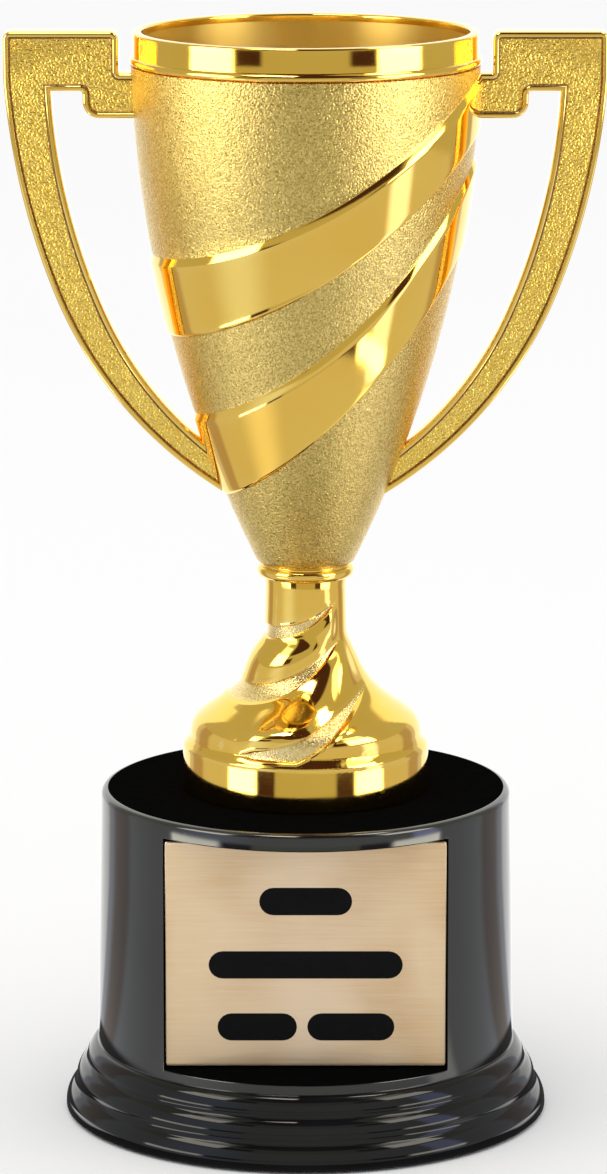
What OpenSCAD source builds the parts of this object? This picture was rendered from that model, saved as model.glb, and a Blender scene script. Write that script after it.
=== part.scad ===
// Two-handled cup trophy on a round black base.
// The origin is at the centre of the underside, +Z is up and the engraving plate faces -Y.

/* [Overall] */
// Height from the table to the top of the rim
overall_h = 203.2; // [200:0.1:206]

/* [Base] */
// Height of the top face of the base
base_h = 61.8; // [60:0.1:63]
// Radius of the column at its top
column_top_r = 38.2; // [37.8:0.1:38.6]
// Radius of the column where it meets the foot
column_low_r = 39.1; // [38.8:0.1:39.4]
// Height of the stepped foot
foot_h = 13; // [12.5:0.1:13.5]
// Radius of the lowest step of the foot
foot_r = 45.2; // [45:0.1:45.6]
// How far each step stands out past the one above it
step_out = 2; // [1.8:0.1:2.1]
// Wall thickness of the base shell
base_wall = 2.8; // [2.4:0.1:3]

/* [Plate] */
// Width of the engraving plate
plate_w = 51.4; // [50:0.1:51.6]
// Height of the engraving plate
plate_h = 42.4; // [40:0.1:42.6]
// Thickness of the engraving plate
plate_t = 0.6; // [0.5:0.1:0.8]
// Thickness of the adhesive tape behind the plate
tape_t = 0.2; // [0.1:0.05:0.3]
// Depth of the filled engraving
engrave_t = 0.2; // [0.1:0.05:0.3]

/* [Bowl] */
// Height of the seam between the bowl and the stem
seam_h = 104.8; // [104.4:0.1:105.2]
// Radius of the arc that the bowl's outline follows
bowl_arc_r = 223; // [222.5:0.1:223.5]
// Wall thickness of the bowl
bowl_wall = 1.8; // [1.5:0.1:2]
// How far the swirl bands stand proud of the bowl
band_relief = 0.6; // [0.4:0.1:0.8]
// Outer radius of the polished rim
rim_r = 31.6; // [31.5:0.05:31.7]

/* [Handles] */
// Reach of each handle from the cup's axis
handle_reach = 55; // [54.5:0.1:55.3]
// Thickness of the handles, front to back
handle_t = 6.4; // [6:0.1:7]
// Width of the raised border around each handle's panel
handle_border = 1; // [0.8:0.1:1.2]
// Depth of the sunk panel on each face of a handle
panel_sink = 0.4; // [0.2:0.1:0.6]

/* [Hardware] */
// Diameter of the tie rod, a quarter inch, 20 threads an inch
rod_d = 6.35; // [6.35:0.05:6.5]
// Clearance around the rod in the parts it passes through
rod_gap = 0.25; // [0.2:0.05:0.4]
// Diameter of the small self-tapping screws
screw_d = 2.9; // [2.6:0.1:3]

/* [Hidden] */
$fn = 160;
arc_fn = 720;

gold = [0.83, 0.66, 0.28];
gold_grain = [0.78, 0.65, 0.36];
plate_gold = [0.86, 0.72, 0.53];
black = [0.05, 0.05, 0.06];
steel = [0.66, 0.67, 0.69];

// base
felt_t = 1.5;
felt_r = 41.6;
shell_lift = 0.4;
cover_t = 2.5;
cover_r = 41.8;
cover_top = felt_t + cover_t;
fit_gap = 0.2;
step_h = [5.2, 4, 3.8];
step_round = [5, 4, 4];
top_edge_round = 1.2;
top_wall = 3.4;
recess_low = 15;
recess_high = base_h - 3.2;
plate_y = -28.2;
recess_y = plate_y + plate_t + tape_t;
recess_gap = 0.3;
recess_w = plate_w + 2 * recess_gap;
foot_cavity_h = 9;
boss_r = 9;
boss_low = base_h - 11.8;
post_r = 3.4;
post_ring_r = 34.4;
post_top = 16;
post_count = 3;
ballast_r = 22.5;
ballast_h = 20;

// cup; an arc is given as [x, z, radius] in the XZ plane
bowl_arc_z = 203.6;
bowl_arc_x = -191;
upper_band_high = [-47, 266.7, 105.9];
upper_band_low = [-57.4, 257.3, 114.2];
lower_band_high = [-58.5, 225.7, 100.1];
lower_band_low = [-86.6, 227.8, 131.3];
bowl_floor = 112;
spigot_r = 5;
spigot_h = 2;
band_top = 194;
lip_low = 197;
lip_high = 201.8;
lip_r = rim_r - 0.55;
rim_in_r = 29.9;
rim_edge = 0.4;
bead_r = 0.8;
bead_z = 197.9;
bead_out = 0.55;
neck_r = 7.6;
cone_top = 90.6;
flare_top = 79.2;
flare_top_r = 15.5;
flare_arc = [25, 92.6, 16.4];
shoulder_arc = [16.6, 72.3, 5];
collar_bead = [7.85, 103.1, 1.15];
stem_foot_r = 23;
stem_foot_wall_h = 5.8;
stem_wall = 2.4;
rod_tube_r = 6;
crescent_sink = 0.5;
// low arc and high arc of each crescent, and the height that it stays above
crescents = [
  [[-9.2, 109.3, 18.7], [-7.3, 112.6, 19.4], 90],
  [[-13.3, 102.6, 22.9], [-14.7, 112.3, 29.9], 79.6],
  [[-12.3, 97, 27.8], [-18.5, 117.9, 46.1], 71.3]
];
crescent_reach = 13;

// handles; each side is [x at its upright point, height there, upper radius, lower radius, turn]
handle_outer = [handle_reach + 0.3, 203.3, 130.7, 77.1, 21.5];
handle_inner = [46.6, 198.4, 116.5, 67.2, 23.7];
handle_low = 119;
bar_low = 192.4;
tab_high = 195.6;
tab_low = 187.4;
notch_x = 34.1;
tab_x = 40.6;
tab_round = 2.4;

// fasteners
washer_t = 1.6;
lock_t = 1.6;
nut_h = 5.6;
nut_af = 11.1;
rod_high = 123.5;
rod_low = boss_low - washer_t - lock_t - nut_h - 2;
handle_screw_z = [191.4, 126];
screw_boss_x = [29, 14.7];
screw_boss_gap = 0.4;
screw_head_r = 2.7;
screw_head_t = 1.9;
screw_len = 9;
cover_screw_len = 10;

// A solid of revolution under the bowl's outline between two heights, inset by d.
module bowl_solid(low, high, d = 0) {
  rotate_extrude() intersection() {
    translate([bowl_arc_x, bowl_arc_z]) circle(r = bowl_arc_r - d, $fn = arc_fn);
    translate([0, low]) square([60, high - low]);
  }
}

// A circle in the XZ plane, given as [x, z, radius].
module arc_disc(arc) {
  translate([arc[0], arc[1]]) circle(r = arc[2], $fn = arc_fn);
}

// The slice of the bowl's outline inside the circle low and outside the circle high, which both
// curl up to the right.
module swirl_slice(low, high) {
  intersection() {
    difference() {
      arc_disc(low);
      arc_disc(high);
    }
    translate([-rim_r - 2, seam_h]) square([2 * rim_r + 4, lip_low - seam_h]);
  }
}

module swirl_band(low, high) {
  intersection() {
    bowl_solid(seam_h + 4, band_top, -band_relief);
    rotate([90, 0, 0]) linear_extrude(height = 90, center = true) swirl_slice(low, high);
  }
}

// The outside of the bowl with its two bands, as one filled solid.
module bowl_skin() {
  bowl_solid(seam_h, lip_low);
  swirl_band(upper_band_low, upper_band_high);
  swirl_band(lower_band_low, lower_band_high);
}

module at_handle_screws() {
  for (side = [-1, 1], n = [0, 1])
    scale_x(side) translate([screw_boss_x[n], 0, handle_screw_z[n]]) rotate([0, 90, 0]) children();
}

module scale_x(side) {
  mirror([side < 0 ? 1 : 0, 0, 0]) children();
}

module bowl() {
  color(gold_grain) difference() {
    union() {
      difference() {
        union() {
          bowl_skin();
          cylinder_ring(lip_r, 20, lip_low, lip_high);
        }
        bowl_solid(bowl_floor, overall_h, bowl_wall);
      }
      intersection() {
        at_handle_screws() cylinder(r = screw_head_r + screw_boss_gap, h = 6);
        bowl_solid(bowl_floor, lip_low, bowl_wall / 2);
      }
    }
    translate([0, 0, seam_h - 1]) cylinder(d = rod_d + 2 * rod_gap, h = 20);
    translate([0, 0, seam_h - 1]) cylinder(r = spigot_r + 0.1, h = spigot_h + 1.1);
    at_handle_screws() translate([0, 0, -1]) cylinder(d = screw_d + 0.2, h = 12);
  }
}

module cylinder_ring(outer, inner, low, high) {
  difference() {
    translate([0, 0, low]) cylinder(r = outer, h = high - low);
    translate([0, 0, low - 1]) cylinder(r = inner, h = high - low + 2);
  }
}

// The polished rim: a skirt over the lip, a rounded top edge and a bead around its foot.
module rim_ring() {
  flat_w = rim_r - rim_in_r - 2 * rim_edge;
  color(gold) rotate_extrude() difference() {
    union() {
      translate([rim_in_r, lip_low]) square([rim_r - rim_in_r, overall_h - lip_low - rim_edge]);
      translate([rim_in_r + rim_edge, overall_h - 2]) square([flat_w, 2]);
      translate([rim_in_r + rim_edge, overall_h - rim_edge]) circle(r = rim_edge, $fn = 48);
      translate([rim_r - rim_edge, overall_h - rim_edge]) circle(r = rim_edge, $fn = 48);
      translate([rim_r + bead_out - bead_r, bead_z]) circle(r = bead_r, $fn = 48);
    }
    translate([20, lip_low - 5]) square([lip_r - 20, lip_high - lip_low + 5]);
  }
}

// Inside of two arcs that meet in line at the angle turn below the horizontal, grown by d. The
// upper arc is upright at its centre's height.
module double_arc(side, d) {
  far = 400;
  turn = side[4];
  centre = [side[0] - side[2], side[1]];
  shift = side[2] - side[3];
  intersection() {
    arc_disc([centre[0], centre[1], side[2] + d]);
    translate(centre) rotate(-turn) square([far, far]);
  }
  intersection() {
    arc_disc([centre[0] + shift * cos(turn), centre[1] - shift * sin(turn), side[3] + d]);
    translate(centre) rotate(-turn) translate([0, -far]) square([far, far]);
  }
}

// The tab at the top of the opening, with its lower outer corner rounded.
module tab_outline(x, z, round) {
  translate([0, z + round]) square([x, 50]);
  translate([0, z]) square([x - round, 50]);
  translate([x - round, z + round]) circle(r = round, $fn = 64);
}

// Outline of a handle in the XZ plane, inset by d all round.
module handle_outline(d = 0) {
  difference() {
    intersection() {
      double_arc(handle_outer, -d);
      translate([0, handle_low]) square([handle_reach - d, overall_h - d - handle_low]);
    }
    // the finger opening, and the notch between the top bar and the rim
    difference() {
      double_arc(handle_inner, d);
      translate([0, bar_low + d]) square([100, 50]);
      tab_outline(tab_x - d, tab_low + d, tab_round - d);
    }
    translate([0, tab_high - d]) square([notch_x + d, 50]);
  }
}

module handle_blank() {
  difference() {
    rotate([90, 0, 0]) linear_extrude(height = handle_t, center = true) handle_outline();
    for (face = [-1, 1])
      translate([0, face * (handle_t / 2 + 1 - panel_sink), 0])
        rotate([90, 0, 0]) linear_extrude(height = 2, center = true) handle_outline(handle_border);
    at_handle_screws() cylinder(d = screw_d + 0.2, h = screw_len + 0.5);
  }
}

module handle(side) {
  color(gold) difference() {
    scale_x(side) handle_blank();
    bowl_skin();
  }
}

module handle_left() {
  handle(-1);
}

module handle_right() {
  handle(1);
}

module screw(head_r, head_t, length) {
  translate([0, 0, -head_t]) cylinder(r = head_r, h = head_t);
  cylinder(d = screw_d, h = length);
}

module handle_screws() {
  color(steel) at_handle_screws() screw(screw_head_r, screw_head_t, screw_len);
}

// Half outline of the stem: neck, upper cone, flare, shoulder and upright wall.
module stem_outline() {
  translate([0, base_h]) square([neck_r, seam_h - base_h]);
  difference() {
    translate([0, flare_top]) square([flare_top_r, cone_top - flare_top]);
    arc_disc(flare_arc);
  }
  shoulder_x = shoulder_arc[0];
  shoulder_z = shoulder_arc[1];
  polygon([
    [0, base_h], [stem_foot_r, base_h], [stem_foot_r, base_h + stem_foot_wall_h],
    [shoulder_x + 5, shoulder_z + 0.6], [shoulder_x + 2.9, shoulder_z + 4.1],
    [flare_top_r, flare_top], [0, flare_top]
  ]);
  arc_disc(shoulder_arc);
}

// The hollow under the stem's foot, around the tube that the tie rod runs through.
module stem_hollow() {
  rotate_extrude() difference() {
    polygon([
      [rod_tube_r, base_h - 1], [stem_foot_r - stem_wall, base_h - 1],
      [stem_foot_r - stem_wall, base_h + 7], [shoulder_arc[0] + 1, shoulder_arc[1] + 1.3],
      [rod_tube_r, flare_top + 1.8]
    ]);
    square([rod_tube_r, 200]);
  }
}

// The slice of the XZ plane inside the circle low and outside the circle high, above least and
// right of the stem's left side.
module crescent(low, high, least) {
  intersection() {
    difference() {
      arc_disc(low);
      arc_disc(high);
    }
    translate([-stem_foot_r - 1, least]) square([60, crescent_reach]);
  }
}

// What the crescents take off the skin of the stem.
module stem_grooves() {
  difference() {
    rotate([90, 0, 0]) linear_extrude(height = 60, center = true) {
      crescent(crescents[0][0], crescents[0][1], crescents[0][2]);
      crescent(crescents[1][0], crescents[1][1], crescents[1][2]);
      crescent(crescents[2][0], crescents[2][1], crescents[2][2]);
    }
    rotate_extrude() intersection() {
      translate([-crescent_sink, 0]) stem_outline();
      translate([0, base_h]) square([60, 60]);
    }
  }
}

module stem() {
  color(gold) difference() {
    union() {
      rotate_extrude() {
        stem_outline();
        arc_disc(collar_bead);
        translate([0, collar_bead[1]]) square([collar_bead[0] + 0.7, seam_h - collar_bead[1]]);
      }
      translate([0, 0, seam_h]) cylinder(r = spigot_r, h = spigot_h);
    }
    translate([0, 0, base_h - 1]) cylinder(d = rod_d + 2 * rod_gap, h = 60);
    stem_hollow();
    stem_grooves();
  }
}

module hex_nut(z) {
  color(steel) translate([0, 0, z]) difference() {
    cylinder(r = nut_af / 2 / cos(30), h = nut_h, $fn = 6);
    translate([0, 0, -1]) cylinder(d = rod_d + 0.1, h = nut_h + 2);
  }
}

module washer(z, outer_d, t) {
  color(steel) translate([0, 0, z]) difference() {
    cylinder(d = outer_d, h = t);
    translate([0, 0, -1]) cylinder(d = rod_d + 2 * rod_gap, h = t + 2);
  }
}

module split_washer(z) {
  difference() {
    washer(z, 12.2, lock_t);
    translate([0, -0.4, z - 1]) cube([20, 0.8, lock_t + 2]);
  }
}

module cup_washer() {
  washer(bowl_floor, 17.5, washer_t);
}

module cup_lock_washer() {
  split_washer(bowl_floor + washer_t);
}

module cup_nut() {
  hex_nut(bowl_floor + washer_t + lock_t);
}

module tie_rod() {
  color(steel) translate([0, 0, rod_low]) cylinder(d = rod_d, h = rod_high - rod_low);
}

module base_washer() {
  washer(boss_low - washer_t, 25, washer_t);
}

module base_lock_washer() {
  split_washer(boss_low - washer_t - lock_t);
}

module base_nut() {
  hex_nut(boss_low - washer_t - lock_t - nut_h);
}

// Half outline of one rounded step of the foot.
module step_outline(r, low, high, round) {
  intersection() {
    union() {
      translate([0, low]) square([r, high - low - 0.8 * round]);
      translate([r - round, high - 0.8 * round]) circle(r = round, $fn = 96);
      translate([0, low]) square([r - round, high - low]);
    }
    translate([0, low]) square([r + 1, high - low]);
  }
}

module base_outline() {
  step_outline(foot_r, shell_lift, step_h[0], step_round[0]);
  step_outline(foot_r - step_out, shell_lift, step_h[0] + step_h[1], step_round[1]);
  step_outline(foot_r - 2 * step_out, shell_lift, foot_h, step_round[2]);
  polygon([
    [0, shell_lift], [column_low_r, shell_lift], [column_low_r, foot_h],
    [column_top_r, base_h - top_edge_round], [column_top_r - top_edge_round, base_h - top_edge_round],
    [column_top_r - top_edge_round, base_h], [0, base_h]
  ]);
  translate([column_top_r - top_edge_round, base_h - top_edge_round])
    circle(r = top_edge_round, $fn = 64);
}

module at_posts() {
  for (n = [0 : post_count - 1]) rotate(90 + n * 360 / post_count) translate([post_ring_r, 0, 0]) children();
}

module base_cavity() {
  translate([0, 0, -1]) cylinder(r = cover_r + fit_gap, h = cover_top + 1);
  translate([0, 0, cover_top - 1]) cylinder(r = foot_r - 2 * step_out - base_wall, h = foot_cavity_h - cover_top + 1);
  intersection() {
    translate([0, 0, foot_cavity_h - 1])
      cylinder(r = column_top_r - base_wall, h = base_h - top_wall - foot_cavity_h + 1);
    translate([-60, recess_y + base_wall, 0]) cube([120, 120, base_h]);
  }
}

module base_shell() {
  color(black) difference() {
    union() {
      difference() {
        rotate_extrude() base_outline();
        base_cavity();
        translate([-recess_w / 2, recess_y - 60, recess_low]) cube([recess_w, 60, recess_high - recess_low]);
      }
      translate([0, 0, boss_low]) cylinder(r = boss_r, h = base_h - boss_low - 1);
      at_posts() translate([0, 0, cover_top]) cylinder(r = post_r, h = post_top - cover_top);
    }
    translate([0, 0, boss_low - 1]) cylinder(d = rod_d + 2 * rod_gap, h = 20);
    at_posts() translate([0, 0, cover_top - 1]) cylinder(d = screw_d + 0.2, h = cover_screw_len);
  }
}

module ballast() {
  color([0.3, 0.3, 0.31]) translate([0, 0, cover_top]) cylinder(r = ballast_r, h = ballast_h);
}

module base_cover() {
  color([0.12, 0.12, 0.13]) difference() {
    translate([0, 0, felt_t]) cylinder(r = cover_r, h = cover_t);
    at_posts() {
      translate([0, 0, felt_t - 1]) cylinder(d = screw_d + 0.2, h = 6);
      translate([0, 0, felt_t - 1]) cylinder(r = screw_head_r + 0.1, h = 2.5);
    }
  }
}

module cover_screws() {
  color(steel) at_posts() translate([0, 0, felt_t + 1.5]) screw(screw_head_r, 1.5, cover_screw_len - 1);
}

module felt_pad() {
  color([0.08, 0.16, 0.11]) cylinder(r = felt_r, h = felt_t);
}

plate_low = recess_low + (recess_high - recess_low - plate_h) / 2;

module plate_slab(w, h, y, t) {
  translate([-w / 2, y, plate_low + (plate_h - h) / 2]) cube([w, t, h]);
}

module plate_tape() {
  color([0.9, 0.9, 0.86]) plate_slab(plate_w - 2, plate_h - 2, plate_y + plate_t, tape_t);
}

module plate() {
  color(plate_gold) difference() {
    plate_slab(plate_w, plate_h, plate_y, plate_t);
    marks(1);
  }
}

// One plain bar with round ends: its middle, its height above the base and its length.
module mark(x, z, length, extra) {
  r = 2.6;
  translate([x, plate_y + engrave_t, z]) rotate([90, 0, 0])
    linear_extrude(height = engrave_t + extra) {
      square([length - 2 * r, 2 * r], center = true);
      for (end = [-1, 1]) translate([end * (length / 2 - r), 0]) circle(r = r, $fn = 48);
    }
}

module marks(extra = 0) {
  mark(0, 46.8, 17, extra);
  mark(0, 34.8, 35.6, extra);
  mark(-8.9, 23, 14.6, extra);
  mark(8.3, 23, 16, extra);
}

module plate_infill() {
  color(black) marks();
}

bowl();
rim_ring();
handle_left();
handle_right();
handle_screws();
stem();
tie_rod();
cup_washer();
cup_lock_washer();
cup_nut();
base_shell();
base_washer();
base_lock_washer();
base_nut();
ballast();
base_cover();
cover_screws();
felt_pad();
plate_tape();
plate();
plate_infill();
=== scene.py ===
"""Looks for the two-handled cup trophy: detailed meshes, materials, camera and studio light.

Lengths in this script are millimetres unless a name says otherwise. build() turns them into metres.
"""

import math

import bmesh
import bpy
import numpy as np
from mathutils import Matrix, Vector
from mathutils.geometry import tessellate_polygon


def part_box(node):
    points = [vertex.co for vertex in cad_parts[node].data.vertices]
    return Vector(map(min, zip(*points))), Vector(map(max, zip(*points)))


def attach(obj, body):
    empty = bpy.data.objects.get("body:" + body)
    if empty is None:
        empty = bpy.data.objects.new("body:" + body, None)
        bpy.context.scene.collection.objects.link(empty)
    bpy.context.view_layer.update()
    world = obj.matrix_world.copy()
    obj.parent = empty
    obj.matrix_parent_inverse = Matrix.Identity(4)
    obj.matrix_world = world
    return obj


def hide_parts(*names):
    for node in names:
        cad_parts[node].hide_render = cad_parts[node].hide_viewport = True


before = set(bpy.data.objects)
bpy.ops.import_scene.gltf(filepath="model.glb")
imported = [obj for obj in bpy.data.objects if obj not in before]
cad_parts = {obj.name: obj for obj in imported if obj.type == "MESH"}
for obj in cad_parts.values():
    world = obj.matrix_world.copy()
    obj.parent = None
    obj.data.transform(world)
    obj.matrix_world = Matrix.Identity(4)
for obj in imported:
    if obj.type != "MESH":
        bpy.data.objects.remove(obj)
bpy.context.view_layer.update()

MM = 0.001
BODY = "root"
SHARP_ANGLE = math.radians(38)
TURN = 2 * math.pi
# How often a search halves its range
HALVINGS = 40


def mm_box(node):
    """Lowest and highest corner of a CAD node, in millimetres."""
    low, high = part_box(node)
    return np.array(low) / MM, np.array(high) / MM


# Driving sizes, read from the frame
BASE_LOW, BASE_HIGH = mm_box("base_shell")
RIM_LOW, RIM_HIGH = mm_box("rim_ring")
STEM_LOW, STEM_HIGH = mm_box("stem")
HANDLE_HIGH = mm_box("handle_right")[1]
PLATE_LOW, PLATE_HIGH = mm_box("plate")
TAPE_HIGH = mm_box("plate_tape")[1]
INFILL_LOW, INFILL_HIGH = mm_box("plate_infill")
FELT_LOW, FELT_HIGH = mm_box("felt_pad")
COVER_LOW, COVER_HIGH = mm_box("base_cover")
BALLAST_LOW, BALLAST_HIGH = mm_box("ballast")
ROD_LOW, ROD_HIGH = mm_box("tie_rod")

TOP = RIM_HIGH[2]
BASE_TOP = BASE_HIGH[2]
HALF_T = HANDLE_HIGH[1]
REACH = HANDLE_HIGH[0]

# Radius at which turned shapes start, so that no ring of points falls on the axis
AXIS = 0.01


# ---------------------------------------------------------------- mesh tools


def place(name, data):
    """A new object in the scene."""
    thing = bpy.data.objects.new(name, data)
    bpy.context.scene.collection.objects.link(thing)
    return thing


def build(name, verts, faces, materials, nodes, kinds=None, sharp=SHARP_ANGLE):
    """A closed mesh piece from points in millimetres, standing for CAD nodes.

    kinds holds the number of the material of each face. Edges sharper than sharp aren't smoothed.
    """
    mesh = bpy.data.meshes.new(name)
    mesh.from_pydata([tuple(v) for v in np.asarray(verts, float) * MM], [], [list(f) for f in faces])
    for material in materials:
        mesh.materials.append(material)
    if kinds is not None:
        mesh.polygons.foreach_set("material_index", np.asarray(kinds, np.int32))
    work = bmesh.new()
    work.from_mesh(mesh)
    bmesh.ops.remove_doubles(work, verts=work.verts, dist=1e-7)
    bmesh.ops.dissolve_degenerate(work, edges=work.edges, dist=1e-7)
    bmesh.ops.recalc_face_normals(work, faces=work.faces)
    for face in work.faces:
        face.smooth = True
    for edge in work.edges:
        edge.smooth = not (edge.is_manifold and edge.calc_face_angle() > sharp)
    work.to_mesh(mesh)
    work.free()
    piece = place(name, mesh)
    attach(piece, BODY)
    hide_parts(*nodes)
    return piece


def grid_faces(rings, count, closed=True, start=0):
    """Quads between consecutive rings of count points. closed joins the last ring to the first."""
    faces = []
    for r in range(rings if closed else rings - 1):
        a = start + r * count
        b = start + ((r + 1) % rings) * count
        for k in range(count):
            n = (k + 1) % count
            faces.append((a + k, a + n, b + n, b + k))
    return faces


def ring(radius, z, angles):
    """Points around the axis. Angle 0 faces -Y and angles grow towards +X."""
    radius = np.broadcast_to(radius, angles.shape)
    z = np.broadcast_to(z, angles.shape)
    return np.stack([radius * np.sin(angles), -radius * np.cos(angles), z], axis=1)


def around(count):
    """count angles round the axis, starting at the back."""
    return np.arange(count) * TURN / count - math.pi


def lathe(profile, count):
    """Points and quads of a closed profile of (radius, z) turned around the axis."""
    angles = around(count)
    verts = np.concatenate([ring(r, z, angles) for r, z in profile])
    return verts, grid_faces(len(profile), count)


def arc(x, z, radius, start, end, steps):
    """Points along an arc, with angles in degrees."""
    turn = np.radians(np.linspace(start, end, steps + 1))
    return [(x + radius * math.cos(a), z + radius * math.sin(a)) for a in turn]


class Shells:
    """Gathers several closed shells into one mesh."""

    def __init__(self):
        self.verts = []
        self.faces = []
        self.kinds = []
        self.count = 0

    def add(self, verts, faces, kind=0):
        """Adds a shell. kind is one material number, or one for each face."""
        verts = np.asarray(verts, float)
        self.verts.append(verts)
        self.faces += [tuple(i + self.count for i in f) for f in faces]
        self.kinds += np.broadcast_to(kind, len(faces)).tolist()
        self.count += len(verts)

    def build(self, name, materials, slot, nodes, sharp=SHARP_ANGLE):
        points = np.concatenate(self.verts)
        return build(name, points, self.faces, materials, nodes, self.kinds, sharp)


def move(verts, offset):
    return np.asarray(verts) + np.array(offset)


def lay_along_x(verts, side):
    """Turns a shell made along +Z so that it points along +X or -X."""
    verts = np.asarray(verts)
    return np.stack([side * verts[:, 2], verts[:, 1], -side * verts[:, 0]], axis=1)


# ---------------------------------------------------------------- materials


class Nodes:
    """A small helper that adds nodes to a new material and links them."""

    def __init__(self, name):
        self.material = bpy.data.materials.new(name)
        self.material.use_nodes = True
        self.tree = self.material.node_tree
        self.shader = self.tree.nodes["Principled BSDF"]
        self.coords = self.add("ShaderNodeTexCoord").outputs["Object"]

    def add(self, kind, **values):
        """A new node, with constants for its sockets."""
        node = self.tree.nodes.new(kind)
        for key, value in values.items():
            node.inputs[key.replace("_", " ")].default_value = value
        return node

    def feed(self, node, socket, value):
        """Gives a socket a colour, a number or another node's output."""
        if isinstance(value, tuple):
            node.inputs[socket].default_value = (*value, 1)
        elif isinstance(value, (int, float)):
            node.inputs[socket].default_value = value
        else:
            self.tree.links.new(value, node.inputs[socket])

    def link(self, output, target, socket):
        self.tree.links.new(output, target.inputs[socket])

    def set(self, **values):
        """Sets constants on the shader's own sockets."""
        for key, value in values.items():
            self.shader.inputs[key.replace("_", " ")].default_value = value

    def mapped(self, scale):
        """Object coordinates stretched by scale."""
        node = self.add("ShaderNodeMapping", Scale=scale)
        self.link(self.coords, node, "Vector")
        return node.outputs["Vector"]

    def noise(self, size, detail=2.0, roughness=0.5, stretch=(1, 1, 1)):
        """Noise with blobs of about size millimetres."""
        node = self.add("ShaderNodeTexNoise", Scale=1 / (size * MM), Detail=detail, Roughness=roughness)
        self.link(self.mapped(stretch), node, "Vector")
        return node.outputs["Fac"]

    def spread(self, value, low, high, clip=(0.3, 0.7)):
        """Maps the middle of a texture's range to low..high."""
        node = self.add("ShaderNodeMapRange", From_Min=clip[0], From_Max=clip[1], To_Min=low, To_Max=high)
        self.link(value, node, "Value")
        return node.outputs["Result"]

    def blend(self, factor, low, high):
        """Mixes two colours, each a constant or another node's output."""
        node = self.add("ShaderNodeMix")
        node.data_type = "RGBA"
        for socket, value in ((0, factor), (6, low), (7, high)):
            self.feed(node, socket, value)
        return node.outputs[2]

    def math(self, operation, a, b):
        node = self.add("ShaderNodeMath")
        node.operation = operation
        for socket, value in enumerate((a, b)):
            self.feed(node, socket, value)
        return node.outputs[0]

    def bump(self, height, depth, strength=1.0, below=None):
        """Bump of about depth millimetres."""
        node = self.add("ShaderNodeBump", Strength=strength, Distance=depth * MM)
        self.link(height, node, "Height")
        if below is not None:
            self.link(below, node, "Normal")
        return node.outputs["Normal"]

    def edges(self):
        """1 on outer edges and corners, 0 elsewhere."""
        node = self.add("ShaderNodeNewGeometry")
        return self.spread(node.outputs["Pointiness"], 0.0, 1.0, (0.5, 0.56))

    def finish(self, color, roughness, normal=None):
        self.link(color, self.shader, "Base Color")
        self.link(roughness, self.shader, "Roughness")
        if normal is not None:
            self.link(normal, self.shader, "Normal")
        return self.material


GOLD = (0.93, 0.60, 0.105)
GOLD_WARM = (0.90, 0.54, 0.085)
GOLD_PALE = (0.97, 0.74, 0.26)


def polished_gold():
    """Plated gold with faint haze, upright wiping scratches and a slight ripple."""
    m = Nodes("polished_gold")
    m.set(Metallic=1.0)
    color = m.blend(m.spread(m.noise(22), 0, 1), GOLD, GOLD_WARM)
    color = m.blend(m.math("MULTIPLY", m.edges(), 0.5), color, GOLD_PALE)
    haze = m.spread(m.noise(6, detail=4), 0.045, 0.085)
    scratches = m.noise(0.9, detail=3, stretch=(1, 1, 9))
    roughness = m.math("ADD", haze, m.spread(scratches, 0, 0.03, (0.55, 0.7)))
    ripple = m.bump(m.noise(9, detail=1), 0.05, 0.5)
    return m.finish(color, roughness, m.bump(scratches, 0.004, 0.3, ripple))


def grained_gold(name, size, depth, low, high, base_roughness):
    """Sand-textured gold with speckles of about size millimetres."""
    m = Nodes(name)
    m.set(Metallic=1.0)
    speckle = m.noise(size, detail=1, roughness=0.5)
    color = m.blend(m.spread(speckle, 0, 1, (0.36, 0.64)), low, high)
    color = m.blend(m.spread(m.noise(18), 0, 0.25), color, low)
    roughness = m.spread(m.noise(size * 2), base_roughness - 0.05, base_roughness + 0.08)
    return m.finish(color, roughness, m.bump(speckle, depth, 1.0))


def painted_groove_shade():
    """Dark gold as painted shade, in the corners where a handle's sunk panel meets its border."""
    m = Nodes("painted_groove_shade")
    m.set(Metallic=0.8)
    color = m.blend(m.spread(m.noise(0.5, detail=3), 0, 1), (0.10, 0.045, 0.012), (0.30, 0.17, 0.05))
    return m.finish(color, m.spread(m.noise(0.8), 0.35, 0.55), m.bump(m.noise(0.3), 0.03, 0.6))


def satin_gold():
    m = Nodes("satin_gold")
    m.set(Metallic=1.0)
    color = m.blend(m.spread(m.noise(16), 0, 1), (0.78, 0.57, 0.15), (0.84, 0.63, 0.18))
    roughness = m.spread(m.noise(5, detail=4), 0.30, 0.40)
    return m.finish(color, roughness, m.bump(m.noise(0.5, detail=3), 0.01, 0.4))


def brushed_plate():
    """Pale gold sheet brushed lengthwise, with a painted highlight that makes it lighter in the middle."""
    m = Nodes("brushed_plate")
    m.set(Metallic=0.62)
    strokes = m.noise(0.35, detail=5, roughness=0.65, stretch=(0.03, 1, 1))
    clouds = m.noise(16, detail=1)
    color = m.blend(m.spread(clouds, 0, 1, (0.38, 0.62)), (0.70, 0.46, 0.215), (0.84, 0.61, 0.34))
    across = m.add("ShaderNodeSeparateXYZ")
    m.link(m.coords, across, "Vector")
    # Painted highlight: paler gold towards the middle of the plate.
    middle = m.spread(m.math("ABSOLUTE", across.outputs["X"], 0.0), 0.75, 0.0, (0.0, PLATE_HIGH[0] * MM))
    color = m.blend(m.math("MULTIPLY", middle, m.spread(clouds, 0.7, 1.0)), color, (0.90, 0.70, 0.48))
    color = m.blend(m.spread(strokes, 0, 0.35, (0.4, 0.75)), color, (0.95, 0.80, 0.58))
    roughness = m.spread(strokes, 0.30, 0.44)
    return m.finish(color, roughness, m.bump(strokes, 0.012, 0.5))


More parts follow.
